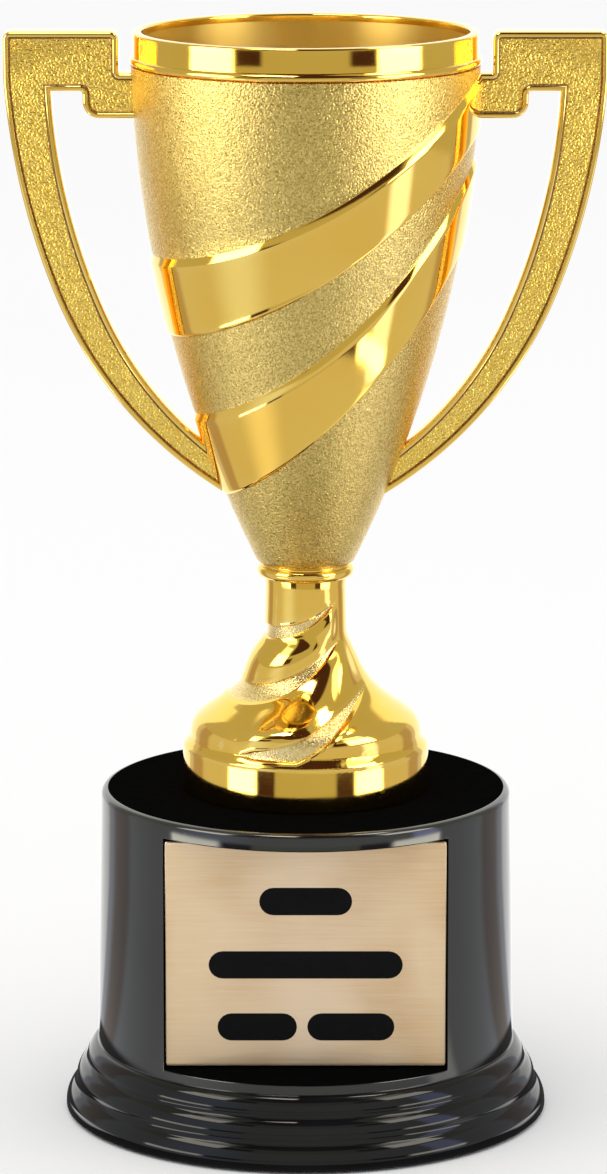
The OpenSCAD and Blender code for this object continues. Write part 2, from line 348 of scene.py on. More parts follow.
def black_gloss(name, gloss, low, high):
    """Moulded gloss black with dust and worn edges. low and high bound its roughness."""
    m = Nodes(name)
    m.set(Specular_IOR_Level=gloss, Specular_Tint=(1.0, 0.97, 0.80, 1))
    color = m.blend(m.spread(m.noise(14), 0, 1), (0.0035, 0.0035, 0.004), (0.006, 0.006, 0.007))
    color = m.blend(m.math("MULTIPLY", m.edges(), 0.4), color, (0.02, 0.02, 0.022))
    dust = m.spread(m.noise(0.5, detail=2), 0, 0.08, (0.66, 0.75))
    roughness = m.math("ADD", m.spread(m.noise(8, detail=4), low, high), dust)
    return m.finish(color, roughness, m.bump(m.noise(12, detail=1), 0.04, 0.4))


def black_fill():
    m = Nodes("black_fill")
    m.set(Specular_IOR_Level=0.08)
    color = m.blend(m.noise(1.2, detail=4), (0.002, 0.002, 0.002), (0.005, 0.005, 0.005))
    return m.finish(color, m.spread(m.noise(0.8), 0.5, 0.62), m.bump(m.noise(0.3), 0.008, 0.4))


def black_matte():
    """Black without gloss, on the base's top and in the plate's recess."""
    m = Nodes("black_matte")
    m.set(Specular_IOR_Level=0.0)
    color = m.blend(m.noise(2.0, detail=3), (0.002, 0.002, 0.002), (0.004, 0.004, 0.004))
    return m.finish(color, m.spread(m.noise(0.8), 0.6, 0.75), m.bump(m.noise(0.4), 0.02, 0.5))


def zinc_steel():
    m = Nodes("zinc_steel")
    m.set(Metallic=1.0)
    color = m.blend(m.noise(1.5, detail=4), (0.52, 0.54, 0.56), (0.70, 0.70, 0.68))
    color = m.blend(m.math("MULTIPLY", m.edges(), 0.6), color, (0.82, 0.82, 0.82))
    roughness = m.spread(m.noise(0.7, detail=3), 0.22, 0.38)
    return m.finish(color, roughness, m.bump(m.noise(0.25, detail=3), 0.01, 0.5))


def cast_iron():
    m = Nodes("cast_iron")
    m.set(Metallic=0.7)
    color = m.blend(m.noise(2.5, detail=5), (0.075, 0.073, 0.07), (0.13, 0.12, 0.11))
    color = m.blend(m.spread(m.noise(6, detail=4), 0, 0.5, (0.58, 0.7)), color, (0.20, 0.09, 0.045))
    return m.finish(color, m.spread(m.noise(1.2), 0.55, 0.8), m.bump(m.noise(0.8, detail=5), 0.15, 0.8))


def felt():
    m = Nodes("felt")
    m.set(Sheen_Weight=0.5, Sheen_Roughness=0.5, Specular_IOR_Level=0.2)
    fibres = m.noise(0.45, detail=5, roughness=0.7)
    color = m.blend(m.spread(fibres, 0, 1), (0.008, 0.030, 0.018), (0.020, 0.062, 0.038))
    color = m.blend(m.spread(m.noise(9), 0, 0.3), color, (0.03, 0.05, 0.035))
    height = m.math("ADD", fibres, m.noise(0.15, detail=2, stretch=(1, 0.2, 1)))
    return m.finish(color, m.spread(fibres, 0.85, 1.0), m.bump(height, 0.15, 0.9))


def black_board():
    m = Nodes("black_board")
    color = m.blend(m.noise(0.6, detail=5), (0.012, 0.012, 0.013), (0.030, 0.029, 0.028))
    return m.finish(color, m.spread(m.noise(1.5), 0.55, 0.75), m.bump(m.noise(0.4, detail=4), 0.05, 0.6))


def tape():
    m = Nodes("tape")
    color = m.blend(m.noise(1.0, detail=3), (0.72, 0.71, 0.66), (0.84, 0.83, 0.78))
    return m.finish(color, m.spread(m.noise(2.0), 0.5, 0.7), m.bump(m.noise(0.4), 0.02, 0.4))


POLISHED = polished_gold()
GRAINED = grained_gold("grained_gold", 0.34, 0.18, (0.50, 0.34, 0.08), (0.85, 0.64, 0.20), 0.28)
FINE_GRAIN = grained_gold("fine_grained_gold", 0.28, 0.10, (0.76, 0.54, 0.18), (1.0, 0.80, 0.36), 0.26)
COARSE_GRAIN = grained_gold(
    "coarse_grained_gold", 0.36, 0.22, (0.90, 0.56, 0.075), (1.0, 0.74, 0.18), 0.26
)
GROOVE_SHADE = painted_groove_shade()
SATIN = satin_gold()
PLATE = brushed_plate()
BLACK = black_gloss("black_gloss", 0.75, 0.05, 0.09)
BLACK_STEPS = black_gloss("black_gloss_steps", 0.28, 0.02, 0.045)
FILL = black_fill()
MATTE = black_matte()
STEEL = zinc_steel()
IRON = cast_iron()
FELT = felt()
BOARD = black_board()
TAPE = tape()


# ---------------------------------------------------------------- bowl

SEAM = STEM_HIGH[2] - 2
ARC_R = 223.0
ARC_X = -191.0
ARC_Z = 203.6
WALL = 1.8
BAND_RELIEF = 0.6
LIP_LOW = RIM_LOW[2]
LIP_HIGH = TOP - 1.4
LIP_R = 31.05
BOWL_FLOOR = 112.0
HOLE_R = 3.425
SPIGOT_R = 5.1
HANDLE_SCREW_Z = (191.4, 126.0)
SCREW_BOSS_X = (29.0, 14.7)
SCREW_BOSS_R = 3.1
SCREW_BOSS_T = 2.2

# Circles (x, z, radius) in the XZ plane: the lower and upper edge of each swirl band
BANDS = [
    ((-86.6, 227.8, 131.3), (-58.5, 225.7, 100.1)),
    ((-57.4, 257.3, 114.2), (-47.0, 266.7, 105.9)),
]


def bowl_radius(z, inset=0.0):
    """Radius of the bowl's arc-shaped side at a height, or of the same side moved in by inset."""
    return ARC_X + np.sqrt((ARC_R - inset) ** 2 - (np.asarray(z) - ARC_Z) ** 2)


def edge_height(circle, angles, radius_of, low, high):
    """Height at which a circle in the XZ plane crosses a turned surface, at each angle."""
    x, z, radius = circle
    low = np.full(angles.shape, float(low))
    high = np.full(angles.shape, float(high))
    for _ in range(HALVINGS):
        middle = (low + high) / 2
        outside = np.hypot(radius_of(middle) * np.sin(angles) - x, middle - z) > radius
        low = np.where(outside, middle, low)
        high = np.where(outside, high, middle)
    return (low + high) / 2


# Rows of points along a band: height over its lower or its upper edge, and how far they stand out
LOWER_LIP = [(-0.10, 0.0), (0.0, 0.22), (0.10, 0.44), (0.28, 0.57), (0.55, 0.60)]
UPPER_BEVEL = [(-1.50, 0.60), (-1.36, 0.56), (-0.12, 0.05), (0.0, 0.0)]
GRAIN, SHINE, INSIDE = 0, 1, 2
BAND_ROWS = 12


def screw_boss(n, side):
    """The flat pad inside the bowl that a handle screw's head sits on."""
    r, top = SCREW_BOSS_R, SCREW_BOSS_T
    verts, faces = lathe([(AXIS, 0.0), (r - 0.25, 0.0), (r, 0.25), (r, top), (AXIS, top)], 36)
    return move(lay_along_x(verts, side), (side * SCREW_BOSS_X[n], 0, HANDLE_SCREW_Z[n])), faces


def make_bowl():
    count = 480
    angles = around(count)
    rows = []
    kinds = []

    def row(z, out, kind):
        rows.append(ring(bowl_radius(z) + out, z, angles))
        kinds.append(kind)

    def fill(low, high, steps, out, kind):
        for t in np.linspace(0, 1, steps + 1)[1:-1]:
            row(low + (high - low) * t, out, kind)

    below = np.full(count, SEAM + 0.35)
    row(np.full(count, SEAM), -0.25, GRAIN)
    row(below, 0.0, GRAIN)
    for low_circle, high_circle in BANDS:
        low = edge_height(low_circle, angles, bowl_radius, SEAM, LIP_LOW)
        high = edge_height(high_circle, angles, bowl_radius, SEAM, LIP_LOW)
        fill(below, low + LOWER_LIP[0][0], BAND_ROWS, 0.0, GRAIN)
        for offset, out in LOWER_LIP:
            row(low + offset, out, SHINE)
        fill(low + LOWER_LIP[-1][0], high + UPPER_BEVEL[0][0], BAND_ROWS, BAND_RELIEF, SHINE)
        for offset, out in UPPER_BEVEL:
            row(high + offset, out, SHINE)
        kinds[-1] = GRAIN
        below = high
    fill(below, np.full(count, LIP_LOW), 10, 0.0, GRAIN)
    row(np.full(count, LIP_LOW), 0.0, GRAIN)
    profile = [(LIP_R, LIP_LOW), (LIP_R, LIP_HIGH), (bowl_radius(LIP_HIGH, WALL), LIP_HIGH)]
    for z in np.linspace(LIP_HIGH, BOWL_FLOOR + 1.5, 30)[1:]:
        profile.append((bowl_radius(z, WALL), z))
    corner_r = bowl_radius(BOWL_FLOOR, WALL)
    profile += [(corner_r - 0.25, BOWL_FLOOR + 0.5), (corner_r - 1.2, BOWL_FLOOR)]
    profile += [(HOLE_R + 0.3, BOWL_FLOOR), (HOLE_R, BOWL_FLOOR - 0.3)]
    profile += [(HOLE_R, SEAM + 2.1), (SPIGOT_R, SEAM + 2.1), (SPIGOT_R, SEAM)]
    for radius, z in profile:
        rows.append(ring(float(radius), float(z), angles))
        kinds.append(INSIDE)
    faces = grid_faces(len(rows), count)
    shell = Shells()
    shell.add(np.concatenate(rows), faces, np.repeat(kinds, count))
    for side in (-1, 1):
        for n in range(len(HANDLE_SCREW_Z)):
            shell.add(*screw_boss(n, side), INSIDE)
    return shell.build("bowl_body", [GRAINED, POLISHED, SATIN], "gold_grained", ["bowl"])


# ---------------------------------------------------------------- rim

RIM_IN_R = 29.9
RIM_EDGE = 0.4
BEAD_OUT = 0.55
BEAD_R = 0.8
BEAD_Z = LIP_LOW + 0.9
BEAD_TURN = 68


def make_rim():
    """A flat polished ring over the bowl's lip, with a bead round its foot."""
    outer = RIM_HIGH[0] - BEAD_OUT
    edge = RIM_EDGE
    profile = [(LIP_R, LIP_LOW), (outer - 0.15, LIP_LOW)]
    profile += arc(RIM_HIGH[0] - BEAD_R, BEAD_Z, BEAD_R, -BEAD_TURN, BEAD_TURN, 14)
    profile += [(outer, BEAD_Z + 0.95), (outer, TOP - 1.5)]
    profile += arc(outer - edge, TOP - edge, edge, 0, 90, 6)
    profile += arc(RIM_IN_R + edge, TOP - edge, edge, 90, 180, 6)
    profile += [(RIM_IN_R, LIP_HIGH), (LIP_R, LIP_HIGH)]
    verts, faces = lathe(profile, 360)
    return build("rim_band", verts, faces, [POLISHED], ["rim_ring"])


# ---------------------------------------------------------------- handles

# A handle's sides: x and z where the upper arc starts, its radius, the lower arc's radius and the
# slope in degrees at which they meet
OUTER_SIDE = (REACH + 0.3, 203.3, 130.7, 77.1, 21.5)
INNER_SIDE = (46.6, 198.4, 116.5, 67.2, 23.7)
BAR_LOW = 192.4
TAB_HIGH = 195.6
TAB_LOW = 187.4
NOTCH_X = 34.1
TAB_X = 40.6
BURIED_X = 30.4
BURIED_DEPTH = 0.9
HANDLE_BORDER = 1.0
HANDLE_EDGE = 0.45
PANEL_SINK = 0.4


def corner(x, z, radius, start, end, steps=6):
    """Fillet between two upright and level edges: x, z is the corner, and start, end are degrees."""
    middle = math.radians((start + end) / 2)
    reach = radius * math.sqrt(2)
    return arc(x - reach * math.cos(middle), z - reach * math.sin(middle), radius, start, end, steps)


def side_arcs(side, grow, top_z, steps):
    """Points down a handle's side: an upper and a lower arc, ending inside the bowl's wall."""
    x0, z0, r1, r2, turn = side
    lean = math.radians(turn)
    cx, cz = x0 - r1, z0
    ex, ez = cx + (r1 - r2) * math.cos(lean), cz - (r1 - r2) * math.sin(lean)
    first = math.asin((z0 - top_z) / (r1 + grow))
    points = []
    for a in np.linspace(first, lean, steps)[:-1]:
        points.append((cx + (r1 + grow) * math.cos(a), cz - (r1 + grow) * math.sin(a)))
    low, high = lean, math.radians(100)
    for _ in range(HALVINGS):
        a = (low + high) / 2
        x, z = ex + (r2 + grow) * math.cos(a), ez - (r2 + grow) * math.sin(a)
        outside = x > bowl_radius(z) - BURIED_DEPTH
        low, high = (a, high) if outside else (low, a)
    for a in np.linspace(lean, low, steps + 8):
        points.append((ex + (r2 + grow) * math.cos(a), ez - (r2 + grow) * math.sin(a)))
    return points


def handle_outline(inset):
    """The right handle's outline in the XZ plane, inset all round but for its buried ends."""
    d = inset
    points = [(BURIED_X, TAB_HIGH - d)]
    points += corner(NOTCH_X + d, TAB_HIGH - d, 0.3 + d, 270, 360)
    points += corner(NOTCH_X + d, TOP - d, max(1.5 - d, 0.15), 180, 90)
    points += corner(REACH - d, TOP - d, max(1.3 - d, 0.15), 90, 0)
    x0, z0, r1 = OUTER_SIDE[:3]
    leave = z0 - math.sqrt((r1 - d) ** 2 - (REACH - d - x0 + r1) ** 2)
    points += side_arcs(OUTER_SIDE, -d, leave, 20)
    points += side_arcs(INNER_SIDE, d, BAR_LOW + d, 18)[::-1]
    points += corner(TAB_X - d, BAR_LOW + d, 0.6 + d, 90, 180)
    points += corner(TAB_X - d, TAB_LOW + d, 3.0 - d, 0, -90)
    points += [(BURIED_X, TAB_LOW + d)]
    return points


def half_section():
    """(inset, depth behind the face) from the flat side round the border and down to the panel."""
    edge = HANDLE_EDGE
    turns = np.radians((0, 22, 45, 68, 90))
    steps = [(edge - edge * math.cos(a), edge - edge * math.sin(a)) for a in turns]
    inner = HANDLE_BORDER
    return steps + [(inner - 0.22, 0.0), (inner - 0.08, 0.06), (inner, 0.16), (inner + 0.3, PANEL_SINK)]


def make_handle(side, name, node):
    section = half_section()
    loops = [(inset, HALF_T - depth) for inset, depth in reversed(section)]
    loops += [(inset, depth - HALF_T) for inset, depth in section]
    rings = []
    for inset, y in loops:
        rings.append([(side * x, y, z) for x, z in handle_outline(inset)])
    count = len(rings[0])
    verts = np.concatenate([np.array(r) for r in rings])
    faces = grid_faces(len(rings), count, closed=False)
    # The faces of the wall down to each sunk panel take the dark gold: painted shade.
    groove = [2] * (2 * count)
    kinds = groove + [0] * (len(faces) - 2 * len(groove)) + groove
    for start in (0, (len(rings) - 1) * count):
        loop = [Vector((v[0], v[2], 0)) for v in verts[start:start + count]]
        triangles = tessellate_polygon([loop])
        faces += [tuple(start + i for i in t) for t in triangles]
        kinds += [1] * len(triangles)
    return build(name, verts, faces, [POLISHED, COARSE_GRAIN, GROOVE_SHADE], [node], kinds)


# ---------------------------------------------------------------- stem

SHOULDER_TOP = 79.2
FLARE_ARC = (25.0, 92.6, 16.4)
NECK_ARC = (11.6, 92.0, 4.0)
SHOULDER = (16.6, 72.3, 5.0)
# The angle at which one straight line touches both the shoulder and the flare
SHOULDER_TURN = 54.4
FLARE_TURN = 205
FOOT_R = STEM_HIGH[0]
FOOT_EDGE_Z = 69.9
FOOT_EDGE = 0.8
STEM_WALL = 2.4
ROD_TUBE_R = 6.0
COLLAR = (7.85, 103.1, 1.15)

# Lower and upper circle of each sunk crescent, and the height that it stays above
CRESCENTS = [
    ((-12.3, 97.0, 27.8), (-18.5, 117.9, 46.1), 71.3),
    ((-13.3, 102.6, 22.9), (-14.7, 112.3, 29.9), 79.6),
    ((-9.2, 109.3, 18.7), (-7.3, 112.6, 19.4), 90.0),
]
# A crescent fades out where it is narrower than this, on its left and on its right
CRESCENT_LEAST = (0.8, 0.3, 0.3)
CRESCENT_LEAST_RIGHT = 0.25
CRESCENT_FADE = 0.6
CRESCENT_SINK = 0.5
# How far the outer edges of a crescent stand up, and where the lip begins
LOWER_RAISE = 0.14
UPPER_RAISE = 0.16
LIP_WIDTH = 0.3
# How far the polished layer between two crescents swells
LAYER_BULGE = 0.85


def stem_outline():
    """Radius and height up the stem, from the foot's wall to under the collar."""
    points = [(FOOT_R, BASE_TOP)]
    points += arc(FOOT_R - FOOT_EDGE - 0.1, FOOT_EDGE_Z, FOOT_EDGE, 0, 60, 6)
    points += arc(*SHOULDER, -4, SHOULDER_TURN, 20)
    points += arc(*FLARE_ARC, SHOULDER_TURN + 180, FLARE_TURN, 24)
    points += arc(*NECK_ARC, FLARE_TURN, 180, 8)
    return points + [(7.4, 100.2), (7.55, 101.8)]


STEM_OUTLINE = stem_outline()


def stem_radius(z):
    return np.interp(z, [p[1] for p in STEM_OUTLINE], [p[0] for p in STEM_OUTLINE])


def smooth_step(value):
    """0 below 0, 1 above 1 and an S-shaped curve between."""
    t = np.clip(value, 0, 1)
    return t * t * (3 - 2 * t)


def make_stem():
    """Rings of points that follow the crescents' edges, then the stem's inside."""
    count = 400
    angles = around(count)
    rows = []
    kinds = []

    def row(z, out, kind):
        rows.append(ring(stem_radius(z) + out, z, angles))
        kinds.append(kind)

    base = np.full(count, STEM_LOW[2])
    rows.append(ring(FOOT_R - 0.3, base, angles))
    rows.append(ring(FOOT_R, base + 0.3, angles))
    kinds += [0, 0]
    below = base + 0.3
    bulge_below = np.zeros(count)
    for n, (low_circle, high_circle, least) in enumerate(CRESCENTS):
        low = edge_height(low_circle, angles, stem_radius, BASE_TOP, SEAM)
        high = edge_height(high_circle, angles, stem_radius, BASE_TOP, SEAM)
        low = np.maximum(low, least)
        middle = (low + high) / 2
        narrow = np.where(angles < 0, CRESCENT_LEAST[n], CRESCENT_LEAST_RIGHT)
        depth = smooth_step((high - low - narrow) / CRESCENT_FADE)
        low, high = middle - (high - low) / 2 * depth, middle + (high - low) / 2 * depth
        steps = 34 if n == 0 else 14
        for t in np.linspace(0, 1, steps + 1)[1:-1]:
            lens = np.sin(math.pi * t) ** 0.8 * LAYER_BULGE if n else 0.0
            row(below + (low - LIP_WIDTH - below) * t, lens * bulge_below, 0)
        gap = np.minimum(0.12, (high - low) / 6)
        lip = LOWER_RAISE * depth
        row(low - LIP_WIDTH, lip, 0)
        row(low - 0.08, lip * 0.7, 0)
        row(low + gap, -CRESCENT_SINK * depth, 1)
        for t in (0.25, 0.5, 0.75):
            row(low + (high - low) * t, -CRESCENT_SINK * depth, 1)
        row(high - gap, -CRESCENT_SINK * depth, 0)
        row(high + 0.08, 0.05 * depth, 0)
        row(high + LIP_WIDTH, UPPER_RAISE * depth, 0)
        below = high + LIP_WIDTH
        bulge_below = depth
    top = np.full(count, COLLAR[1] - COLLAR[2] - 0.1)
    for t in np.linspace(0, 1, 9)[1:]:
        row(below + (top - below) * t, 0.0, 0)
    profile = arc(*COLLAR, -80, 62, 14)
    profile += [(8.5, SEAM - 0.35), (8.3, SEAM)]
    profile += [(SPIGOT_R - 0.1, SEAM), (SPIGOT_R - 0.1, STEM_HIGH[2]), (HOLE_R, STEM_HIGH[2])]
    profile += [(HOLE_R, BASE_TOP), (ROD_TUBE_R, BASE_TOP), (ROD_TUBE_R, SHOULDER_TOP + 1.8)]
    inner = FOOT_R - STEM_WALL
    profile += [(SHOULDER[0] + 1, SHOULDER[1] + 1.3), (inner, BASE_TOP + 7), (inner, BASE_TOP)]
    for radius, z in profile:
        rows.append(ring(float(radius), float(z), angles))
        kinds.append(0)
    faces = grid_faces(len(rows), count)
    verts = np.concatenate(rows)
    kinds = np.repeat(kinds, count)
    return build("stem_casting", verts, faces, [POLISHED, FINE_GRAIN], ["stem"], kinds)


# ---------------------------------------------------------------- base

FOOT_H = 13.0
COLUMN_TOP_R = 38.2
COLUMN_LOW_R = 39.1
STEP_OUT = 2.0
# Rise and rounding of each step, from the lowest
STEPS = ((5.2, 5.0), (4.0, 4.0), (3.8, 4.0))
STEP_TURN = 53
TOP_ROUND = 1.2
PLATE_BACK = TAPE_HIGH[1]
RECESS_LOW = 15.0
RECESS_HIGH = BASE_TOP - 3.2
BASE_WALL = 2.8
TOP_WALL = 3.4
BOSS_LOW = BASE_TOP - 11.8
BOSS_R = 9.0
POST_RING_R = 34.4
POST_R = 3.4
POST_TOP = 16.0
POSTS = 3
FOOT_CAVITY = 9.0
POCKET_HALF = PLATE_HIGH[0] + 0.3


def column_radius(z):
    """Radius of the slightly tapered column at a height."""
    return COLUMN_LOW_R + (COLUMN_TOP_R - COLUMN_LOW_R) * (z - FOOT_H) / (BASE_TOP - FOOT_H)


def base_ring(radius, z, count, half_width=None, floor_y=None):
    """A ring whose front quarter of points spans the plate's pocket, sunk flat to floor_y if given."""
    if half_width is None:
        half_width = min(POCKET_HALF, radius * 0.7)
    limit = math.asin(min(half_width / radius, 1))
    front = count // 4
    turn = np.linspace(-limit, limit, front + 1)
    x, y = radius * np.sin(turn), -radius * np.cos(turn)
    if floor_y is not None:
        x, y = np.linspace(-half_width, half_width, front + 1), np.full(front + 1, floor_y)
    back = np.linspace(limit, TURN - limit, count - front - 1)
    x = np.concatenate([x, radius * np.sin(back)])
    y = np.concatenate([y, -radius * np.cos(back)])
    return np.stack([x, y, np.full(count, z)], axis=1)


def chord_half(radius, floor_y):
    """Half the width of a circle's flat at floor_y."""
    return math.sqrt(radius ** 2 - floor_y ** 2)


def foot_profile():
    """The three rounded steps, from the table up to the column."""
    low = BASE_LOW[2]
    points = [(BASE_HIGH[0] - 0.3, low), (BASE_HIGH[0], low + 0.3)]
    height = 0.0
    for n, (rise, rounding) in enumerate(STEPS):
        radius = BASE_HIGH[0] - n * STEP_OUT
        height += rise
        next_radius = BASE_HIGH[0] - (n + 1) * STEP_OUT if n < 2 else column_radius(FOOT_H)
        centre_z = height - 0.8 * rounding
        last = math.degrees(math.acos(max((next_radius + 0.25 - radius + rounding) / rounding, 0)))
        for r, z in arc(radius - rounding, centre_z, rounding, 0, min(last, STEP_TURN), 9):
            if z > points[-1][1]:
                points.append((r, z))
    return points


def cover_post(n):
    """One of the posts inside the base that the cover's screws bite into."""
    turn = math.radians(90 + n * 360 / POSTS)
    low = COVER_HIGH[2]
    profile = [(AXIS, low), (POST_R - 0.3, low), (POST_R, low + 0.3), (POST_R, POST_TOP), (AXIS, POST_TOP)]
    verts, faces = lathe(profile, 32)
    return move(verts, (POST_RING_R * math.cos(turn), POST_RING_R * math.sin(turn), 0)), faces


def make_base():
    """The base's outside from the top down, then its inside from the foot up."""
    count = 320
    shell = Shells()
    rows = [base_ring(HOLE_R, BASE_TOP, count), base_ring(BOSS_R, BASE_TOP, count)]
    for r, z in arc(COLUMN_TOP_R - TOP_ROUND, BASE_TOP - TOP_ROUND, TOP_ROUND, 90, 0, 7):
        rows.append(base_ring(r, z, count))
    rows.append(base_ring(column_radius(RECESS_HIGH), RECESS_HIGH, count))
    pocket_start = len(rows) - 1
    for z in np.linspace(RECESS_HIGH, RECESS_LOW, 9):
        rows.append(base_ring(column_radius(z), z, count, POCKET_HALF, PLATE_BACK))
    rows.append(base_ring(column_radius(RECESS_LOW), RECESS_LOW, count))
    pocket_end = len(rows) - 1
    rows.append(base_ring(column_radius(FOOT_H + 0.2), FOOT_H + 0.2, count))
    steps_start = len(rows) - 1
    for r, z in reversed(foot_profile()):
        rows.append(base_ring(r, z, count))
    steps_end = len(rows)
    seat = COVER_HIGH[0] + 0.2
    foot_in = BASE_HIGH[0] - 2 * STEP_OUT - BASE_WALL
    column_in = COLUMN_TOP_R - BASE_WALL
    inner_y = PLATE_BACK + BASE_WALL
    inner_half = chord_half(column_in, inner_y)
    for r, z in ((seat, BASE_LOW[2]), (seat, COVER_HIGH[2])):
        rows.append(base_ring(r, z, count, inner_half))
    for r, z in ((foot_in, COVER_HIGH[2]), (foot_in, FOOT_CAVITY)):
        rows.append(base_ring(r, z, count, inner_half))
    for z in (FOOT_CAVITY, BASE_TOP - TOP_WALL):
        rows.append(base_ring(column_in, z, count, inner_half, inner_y))
    for r, z in ((BOSS_R, BASE_TOP - TOP_WALL), (BOSS_R, BOSS_LOW), (HOLE_R, BOSS_LOW)):
        rows.append(base_ring(r, z, count))
    gloss, matte, steps = 0, 1, 2
    kinds = np.full((len(rows), count), gloss)
    front = count // 4
    kinds[:2] = matte
    kinds[pocket_start:pocket_end, :front + 1] = matte
    kinds[pocket_start:pocket_end, count - 1] = matte
    kinds[steps_start:steps_end] = steps
    shell.add(np.concatenate(rows), grid_faces(len(rows), count), kinds.ravel())
    for n in range(POSTS):
        shell.add(*cover_post(n))
    piece = shell.build("base_moulding", [BLACK, MATTE, BLACK_STEPS], "black_gloss", ["base_shell"])
    bevel = piece.modifiers.new("edges", "BEVEL")
    bevel.width = 0.22 * MM
    bevel.segments = 2
    bevel.limit_method = "ANGLE"
    bevel.angle_limit = math.radians(50)
    bevel.use_clamp_overlap = True


def rounded_disc(radius, low, high, edge):
    """Profile of a disc with rounded edges."""
    profile = [(AXIS, low)]
    profile += arc(radius - edge, low + edge, edge, -90, 0, 4)
    profile += arc(radius - edge, high - edge, edge, 0, 90, 4)
    return profile + [(AXIS, high)]


def make_felt():
    """A cut disc of felt, whose edge waves by about a tenth of a millimetre inside its CAD radius."""
    verts, faces = lathe(rounded_disc(FELT_HIGH[0], FELT_LOW[2], FELT_HIGH[2], 0.35), 240)
    turn = np.arctan2(verts[:, 1], verts[:, 0])
    edge = np.hypot(verts[:, 0], verts[:, 1]) > FELT_HIGH[0] - 1
    fray = 0.06 * np.sin(turn * 57) + 0.05 * np.sin(turn * 91 + 1.3) - 0.11
    verts[edge, 0] += fray[edge] * np.cos(turn[edge])
    verts[edge, 1] += fray[edge] * np.sin(turn[edge])
    return build("felt_disc", verts, faces, [FELT], ["felt_pad"])


def make_cover():
    verts, faces = lathe(rounded_disc(COVER_HIGH[0], COVER_LOW[2], COVER_HIGH[2], 0.2), 240)
    return build("cover_board", verts, faces, [BOARD], ["base_cover"])


def make_ballast():
    """A cast slug with a rounded upper edge and a shallow dish on top."""
    low, high = BALLAST_LOW[2], BALLAST_HIGH[2]
    radius = BALLAST_HIGH[0]
    rounding = 2.2
    profile = [(AXIS, low), (radius - 0.6, low), (radius, low + 0.6), (radius, high - rounding)]
    profile += arc(radius - rounding, high - rounding, rounding, 10, 90, 6)
    profile += [(radius - 6, high), (radius - 7.5, high - 0.8), (AXIS, high - 0.8)]
    verts, faces = lathe(profile, 120)
    return build("iron_weight", verts, faces, [IRON], ["ballast"])


# ---------------------------------------------------------------- plate


def stadium(x, z, length, height, steps=10):
    """Outline of a bar with round ends, as (x, z) points."""
    r = height / 2
    half = length / 2 - r
    return arc(x + half, z, r, -90, 90, steps) + arc(x - half, z, r, 90, 270, steps)


# The bars that stand for engraving: x and z of the middle, and length
BAR_HEIGHT = 5.2
BARS = [(0, 46.8, 17), (0, 34.8, 35.6), (-8.9, 23, 14.6), (8.3, 23, 16)]


def rounded_rectangle(low_x, low_z, high_x, high_z, radius):
    points = corner(high_x, low_z, radius, -90, 0, 5)
    points += corner(high_x, high_z, radius, 0, 90, 5)
    points += corner(low_x, high_z, radius, 90, 180, 5)
    points += corner(low_x, low_z, radius, 180, 270, 5)
    return points


def make_plate():
    """The engraving plate with a bevelled front edge and a shallow pocket for each bar."""
    front, back = PLATE_LOW[1], PLATE_HIGH[1]
    floor = INFILL_HIGH[1]
    bevel = 0.12
    outlines = []
    for inset, y in ((0.0, back), (0.0, front + bevel), (bevel, front)):
        low, high = PLATE_LOW + inset, PLATE_HIGH - inset
        loop = rounded_rectangle(low[0], low[2], high[0], high[2], 0.4)
        outlines.append([(x, y, z) for x, z in loop])
    count = len(outlines[0])
    verts = np.concatenate([np.array(o) for o in outlines])
    faces = grid_faces(3, count, closed=False)
    faces.append(tuple(range(count)))
    holes = []
    for x, z, length in BARS:
        loop = stadium(x, z, length, BAR_HEIGHT)
        size = len(loop)
        start = len(verts)
        points = [(px, front, pz) for px, pz in loop] + [(px, floor, pz) for px, pz in loop]
        verts = np.concatenate([verts, np.array(points)])
        faces += grid_faces(2, size, closed=False, start=start)
        faces.append(tuple(range(start + size, start + 2 * size)))
        holes.append(list(range(start, start + size)))
    outer = list(range(2 * count, 3 * count))
    loops = [outer] + holes
    flat = [i for loop in loops for i in loop]
    outlines = [[Vector((verts[i][0], verts[i][2], 0)) for i in loop] for loop in loops]
    faces += [tuple(flat[i] for i in t) for t in tessellate_polygon(outlines)]
    return build("engraving_plate", verts, faces, [PLATE], ["plate"])


def make_infill():
    """The black in the plate's pockets, slightly rounded at its front edge."""
    shell = Shells()
    front, back = INFILL_LOW[1], INFILL_HIGH[1]
    for x, z, length in BARS:
        wide = stadium(x, z, length, BAR_HEIGHT)
        thin = stadium(x, z, length - 0.12, BAR_HEIGHT - 0.12)
        size = len(wide)
        points = [(px, back, pz) for px, pz in wide]
        points += [(px, front + 0.05, pz) for px, pz in wide]
        points += [(px, front, pz) for px, pz in thin]
        faces = grid_faces(3, size, closed=False)
        faces += [tuple(range(size)), tuple(range(2 * size, 3 * size))]
        shell.add(points, faces)
    return shell.build("plate_bars", [FILL], "black_fill", ["plate_infill"])


# ---------------------------------------------------------------- fasteners

ROD_THREAD = (0.62, 1.27)
SCREW_R = 1.45
SCREW_THREAD = (0.35, 1.1)
SCREW_HEAD_R = 2.7
HANDLE_HEAD_T = 1.9
HANDLE_SCREW_LENGTH = 9.0
COVER_HEAD_T = 1.5


def screw_thread(radius, depth, pitch, low, high, count=24):
    """A threaded shank along +Z as rings, closed at both ends."""
    angles = around(count)
    steps = int((high - low) / pitch * 8)
    rings = [ring(AXIS, low, angles)]
    for z in np.linspace(low, high, steps + 1):
        phase = (z / pitch - angles / TURN) % 1.0
        ridge = 1 - np.abs(2 * phase - 1)
        fade = min((z - low) / pitch, (high - z) / pitch, 1.0)
        rings.append(ring(radius - depth + depth * ridge * fade, z, angles))
    rings.append(ring(AXIS, high, angles))
    return np.concatenate(rings), grid_faces(len(rings), count)


